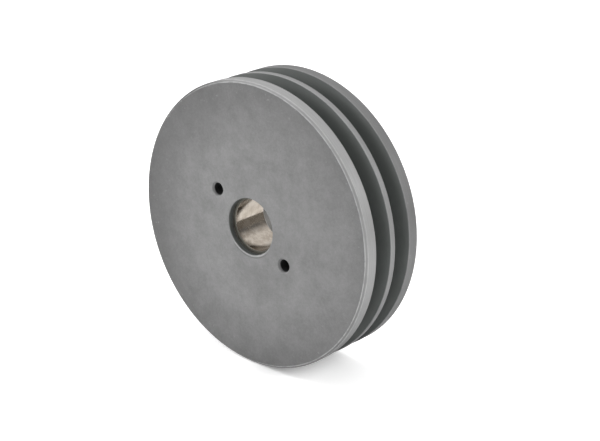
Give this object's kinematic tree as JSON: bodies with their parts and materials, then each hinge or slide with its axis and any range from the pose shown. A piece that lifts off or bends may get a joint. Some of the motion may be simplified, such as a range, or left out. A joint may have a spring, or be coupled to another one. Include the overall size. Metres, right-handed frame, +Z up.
{
  "type": "v belt pulley",
  "caption": "V-belt pulley with a flat front web, wide outer flanges, tapped holes beside the bore and a bushed seat that turns freely on an inner sleeve.",
  "frame": {"origin": "centre of the pulley: middle of its width, on its axis", "axes": "Y is the axis of rotation, with the flat front face towards -Y; +Z up"},
  "size_m": [0.164, 0.044, 0.164],
  "materials": {
    "phosphated_iron": "satin grey phosphate on turned surfaces",
    "sleeve_steel": "bored and honed, pale straw",
    "bush_bronze": "sintered bronze, matt with oil",
    "felt": "oil-soaked wool felt",
    "washer_steel": "ground flat",
    "ring_steel": "blackened spring steel"
  },
  "bodies": {
    "sleeve": {"inner_sleeve": "sleeve_steel"},
    "sheave": {"sheave_body": "phosphated_iron", "front_bush": "bush_bronze", "rear_bush": "bush_bronze", "oil_felt": "felt", "front_thrust_washer": "washer_steel", "rear_thrust_washer": "washer_steel", "retaining_ring": "ring_steel"}
  },
  "joints": [
    {"name": "sheave_spin", "type": "hinge", "parent": "sleeve", "child": "sheave", "pos_m": [0, 0, 0], "axis": [0, 1, 0], "continuous": true}
  ]
}
